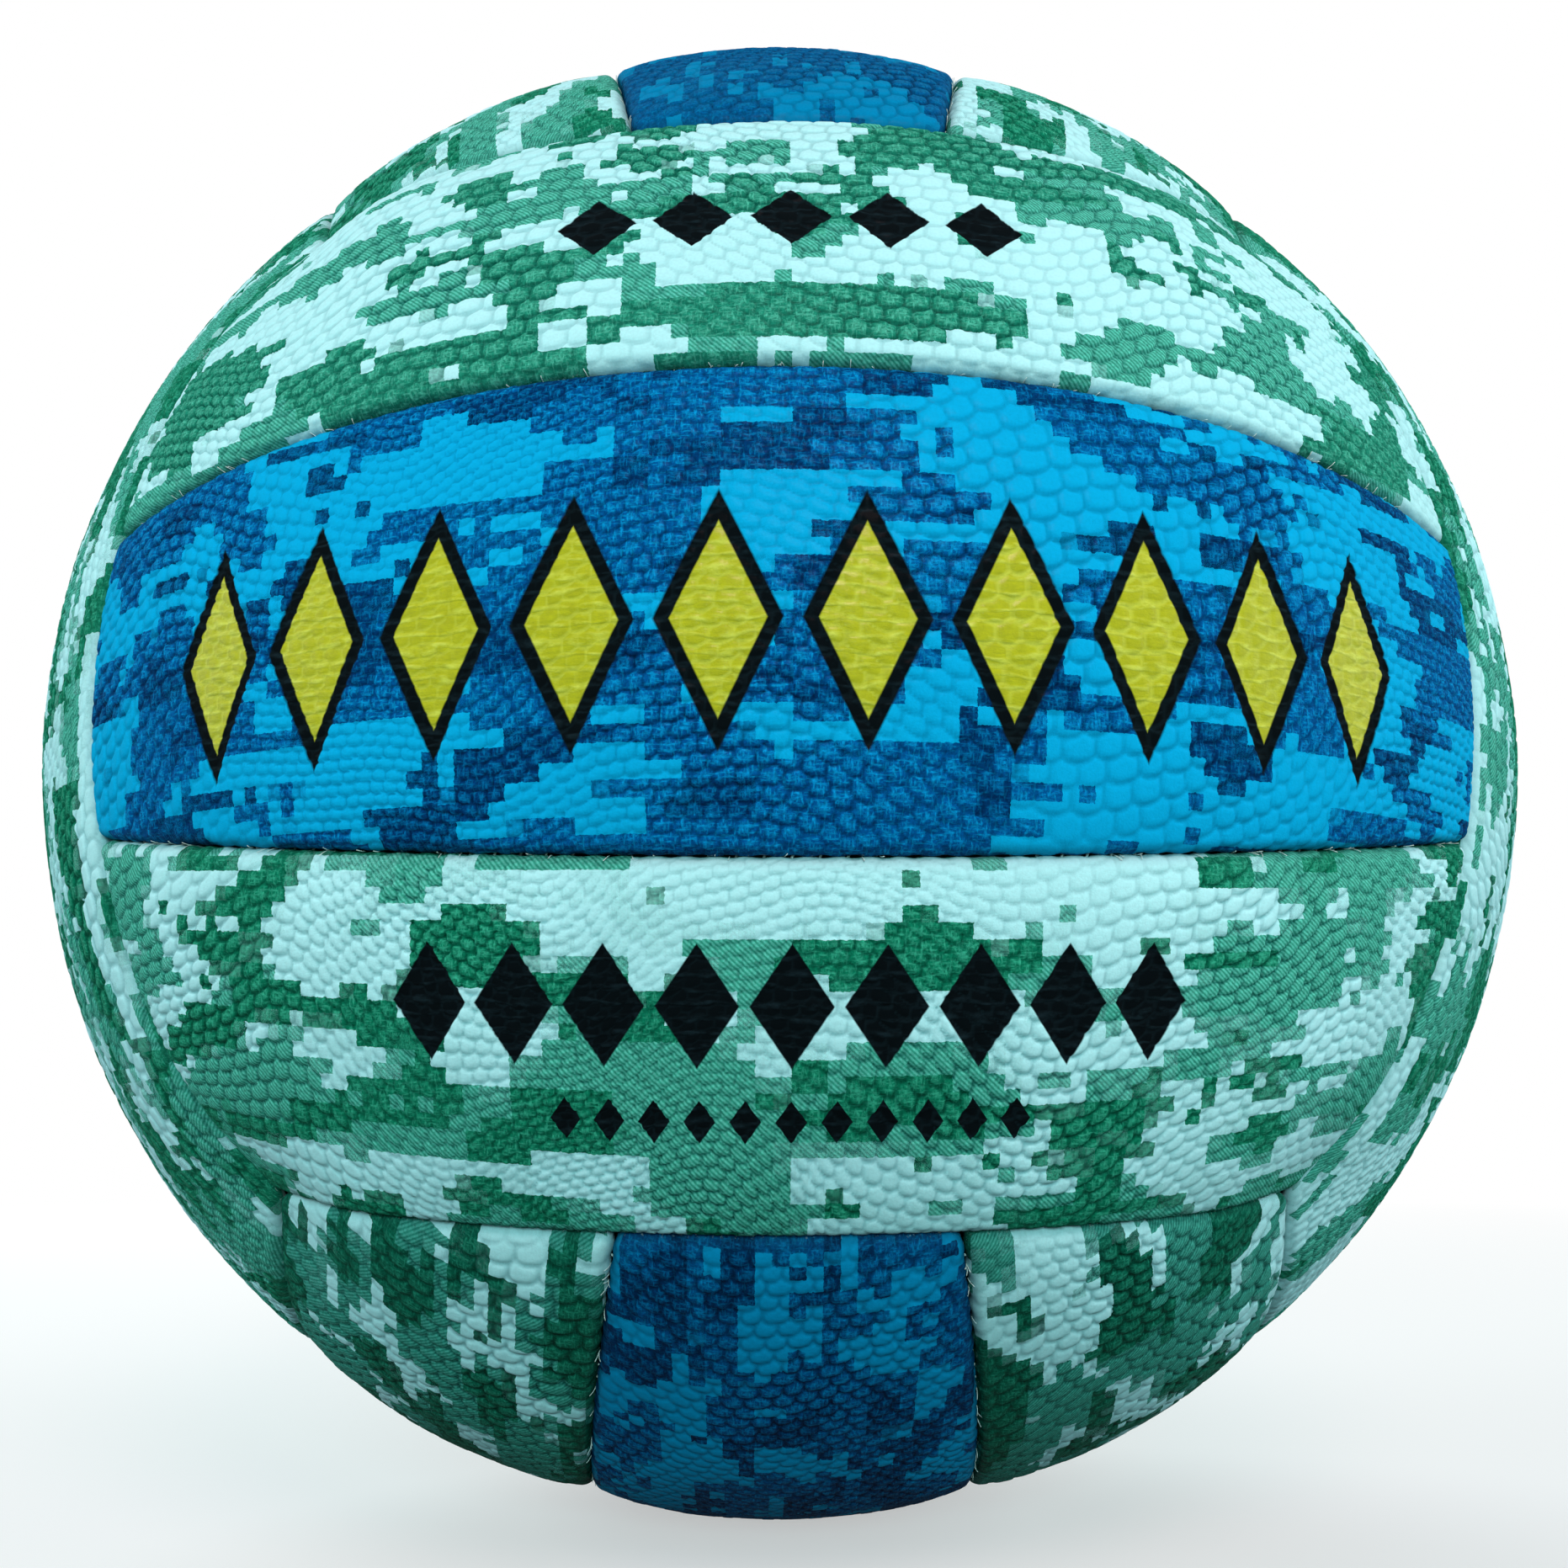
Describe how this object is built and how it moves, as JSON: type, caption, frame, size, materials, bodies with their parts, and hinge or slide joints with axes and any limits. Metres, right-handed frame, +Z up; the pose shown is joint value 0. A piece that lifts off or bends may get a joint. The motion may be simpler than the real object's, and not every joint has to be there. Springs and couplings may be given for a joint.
{
  "type": "volleyball",
  "caption": "Sewn volleyball with padded strip panels over an air bladder, each face a blue strip between green and white ones, filled through a needle valve.",
  "frame": {"origin": "centre of the ball", "axes": "-Y out of the front face, +Z up through the top face, +X to the right; the valve's axis is +Y, in the back face"},
  "size_m": [0.21, 0.2096, 0.21],
  "materials": {
    "blue_panel": "satin",
    "green_panel": "satin",
    "foam": "matte",
    "thread": "matte",
    "bladder": "matte",
    "valve": "satin"
  },
  "bodies": {
    "root": {"front_upper_panel": "green_panel", "front_middle_panel": "blue_panel", "front_lower_panel": "green_panel", "back_upper_panel": "green_panel", "back_middle_panel": "blue_panel", "back_lower_panel": "green_panel", "top_left_panel": "green_panel", "top_middle_panel": "blue_panel", "top_right_panel": "green_panel", "bottom_left_panel": "green_panel", "bottom_middle_panel": "blue_panel", "bottom_right_panel": "green_panel", "left_front_panel": "green_panel", "left_middle_panel": "blue_panel", "left_back_panel": "green_panel", "right_front_panel": "green_panel", "right_middle_panel": "blue_panel", "right_back_panel": "green_panel", "front_upper_foam": "foam", "front_middle_foam": "foam", "front_lower_foam": "foam", "back_upper_foam": "foam", "back_middle_foam": "foam", "back_lower_foam": "foam", "top_left_foam": "foam", "top_middle_foam": "foam", "top_right_foam": "foam", "bottom_left_foam": "foam", "bottom_middle_foam": "foam", "bottom_right_foam": "foam", "left_front_foam": "foam", "left_middle_foam": "foam", "left_back_foam": "foam", "right_front_foam": "foam", "right_middle_foam": "foam", "right_back_foam": "foam", "front_upper_seam_thread": "thread", "front_lower_seam_thread": "thread", "back_upper_seam_thread": "thread", "back_lower_seam_thread": "thread", "top_left_seam_thread": "thread", "top_right_seam_thread": "thread", "bottom_left_seam_thread": "thread", "bottom_right_seam_thread": "thread", "left_front_seam_thread": "thread", "left_back_seam_thread": "thread", "right_front_seam_thread": "thread", "right_back_seam_thread": "thread", "edge_seam_thread_1": "thread", "edge_seam_thread_2": "thread", "edge_seam_thread_3": "thread", "edge_seam_thread_4": "thread", "bladder": "bladder", "valve_housing": "valve", "valve_core": "valve"}
  },
  "joints": []
}
